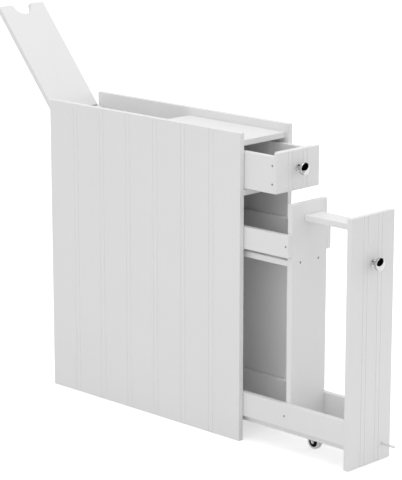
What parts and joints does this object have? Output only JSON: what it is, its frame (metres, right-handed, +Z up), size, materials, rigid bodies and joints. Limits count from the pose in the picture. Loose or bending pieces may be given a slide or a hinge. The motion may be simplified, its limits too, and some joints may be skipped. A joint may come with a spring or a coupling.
{
  "type": "rolling bathroom cabinet",
  "caption": "Narrow white bathroom cabinet with beaded panels, a drawer, a flip-top bin with a finger notch, and a wheeled pull-out trolley with a roll shelf and a brush bay.",
  "frame": {"origin": "middle of the half-open cabinet's footprint box, on the floor", "axes": "+Z up, -Y the front that the drawer and trolley pull towards, +X to the right seen from the front"},
  "size_m": [0.153, 1.0554, 0.8163],
  "materials": {
    "white_paint": "satin white paint on board",
    "dowel_wood": "bare beech",
    "chrome": "polished plate",
    "zinc_steel": "bright zinc plate",
    "screw_steel": "grey coated steel",
    "slip_nylon": "smooth",
    "black_plastic": "moulded",
    "grey_rubber": "soft moulded tread"
  },
  "bodies": {
    "case": {"left_side_panel": "white_paint", "right_side_panel": "white_paint", "top_board": "white_paint", "bay_floor": "white_paint", "bay_divider": "white_paint", "back_panel": "white_paint", "case_dowels": "dowel_wood", "drawer_glides": "slip_nylon", "case_hinge_leaves": "zinc_steel", "hinge_pins": "zinc_steel", "case_hinge_screws": "screw_steel"},
    "lid": {"lid_board": "white_paint", "lid_hinge_leaves": "zinc_steel", "lid_hinge_screws": "screw_steel"},
    "drawer": {"drawer_left_side": "white_paint", "drawer_right_side": "white_paint", "drawer_front": "white_paint", "drawer_back": "white_paint", "drawer_bottom": "white_paint", "drawer_screws": "screw_steel", "drawer_knob": "chrome", "drawer_knob_screw": "screw_steel"},
    "pull_out": {"pull_out_front": "white_paint", "pull_out_base": "white_paint", "partition_panel": "white_paint", "pull_out_back": "white_paint", "roll_shelf": "white_paint", "top_bar": "white_paint", "left_shelf_rail": "white_paint", "left_base_rail": "white_paint", "right_shelf_rail": "white_paint", "right_base_rail": "white_paint", "rail_screws": "screw_steel", "shelf_screws": "screw_steel", "base_screws": "screw_steel", "pull_out_dowels": "dowel_wood", "pull_out_knob": "chrome", "pull_out_knob_screw": "screw_steel", "stop_peg": "slip_nylon", "stop_peg_tip": "grey_rubber", "front_caster_fork": "zinc_steel", "rear_caster_fork": "zinc_steel", "caster_axles": "zinc_steel", "caster_screws": "screw_steel"},
    "front_wheel": {"front_wheel_core": "black_plastic", "front_wheel_tread": "grey_rubber"},
    "rear_wheel": {"rear_wheel_core": "black_plastic", "rear_wheel_tread": "grey_rubber"}
  },
  "joints": [
    {"name": "lid_hinge", "type": "hinge", "parent": "case", "child": "lid", "pos_m": [0, 0.34175, 0.606], "axis": [1, 0, 0], "range_deg": [0, 130]},
    {"name": "drawer_slide", "type": "slide", "parent": "case", "child": "drawer", "axis": [0, -1, 0], "range_m": [-0.084, 0.11]},
    {"name": "pull_out_slide", "type": "slide", "parent": "case", "child": "pull_out", "axis": [0, -1, 0], "range_m": [-0.279, 0.17]},
    {"name": "front_wheel_spin", "type": "hinge", "parent": "pull_out", "child": "front_wheel", "pos_m": [0, -0.35375, 0.015], "axis": [1, 0, 0], "continuous": true},
    {"name": "rear_wheel_spin", "type": "hinge", "parent": "pull_out", "child": "rear_wheel", "pos_m": [0, -0.06675, 0.015], "axis": [1, 0, 0], "continuous": true}
  ],
  "couplings": [
    {"joint": "front_wheel_spin", "follows": "pull_out_slide", "rad_per_m": 66.667},
    {"joint": "rear_wheel_spin", "follows": "pull_out_slide", "rad_per_m": 66.667}
  ]
}
